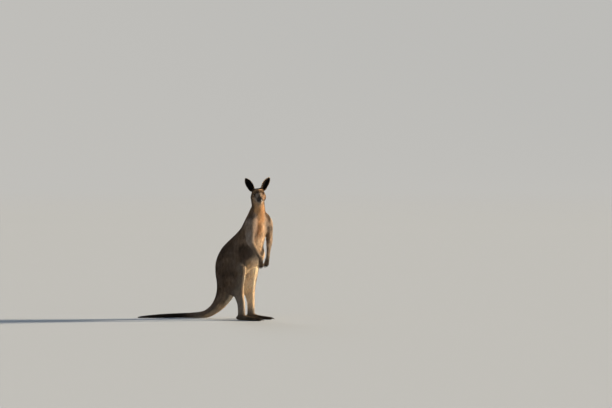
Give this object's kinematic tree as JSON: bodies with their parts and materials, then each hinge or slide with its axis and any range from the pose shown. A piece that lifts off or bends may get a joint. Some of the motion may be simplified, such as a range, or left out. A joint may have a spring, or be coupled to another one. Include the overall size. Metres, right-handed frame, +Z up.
{
  "type": "standing kangaroo",
  "caption": "Life-size kangaroo standing upright on flat hind feet and its tail, forearms hanging before the belly, head turned to its right, ears raised.",
  "frame": {"origin": "middle of the model's footprint, on the ground", "axes": "+X the way the hind feet point, +Y to the animal's left, +Z up from the ground to the ear tips"},
  "size_m": [1.3088, 0.5124, 1.3853],
  "materials": {
    "coat": "dense short grey-brown fur, buff on the chest, cream inside the legs",
    "dark_coat": "short near-black fur of the paws and the tail's end",
    "ear_coat": "thin short fur, dark inside the ear",
    "eye": "wet, very dark brown",
    "claw": "dark polished horn"
  },
  "bodies": {
    "root": {"head": "coat", "neck": "coat", "trunk": "coat", "tail_base": "coat", "tail_middle": "coat", "tail_tip": "dark_coat", "thigh_left": "coat", "shank_left": "coat", "foot_left": "dark_coat", "upper_arm_left": "coat", "forearm_left": "coat", "hand_left": "dark_coat", "ear_left": "ear_coat", "eye_left": "eye", "claw_long_left": "claw", "claw_outer_left": "claw", "thigh_right": "coat", "shank_right": "coat", "foot_right": "dark_coat", "upper_arm_right": "coat", "forearm_right": "coat", "hand_right": "dark_coat", "ear_right": "ear_coat", "eye_right": "eye", "claw_long_right": "claw", "claw_outer_right": "claw"}
  },
  "joints": []
}
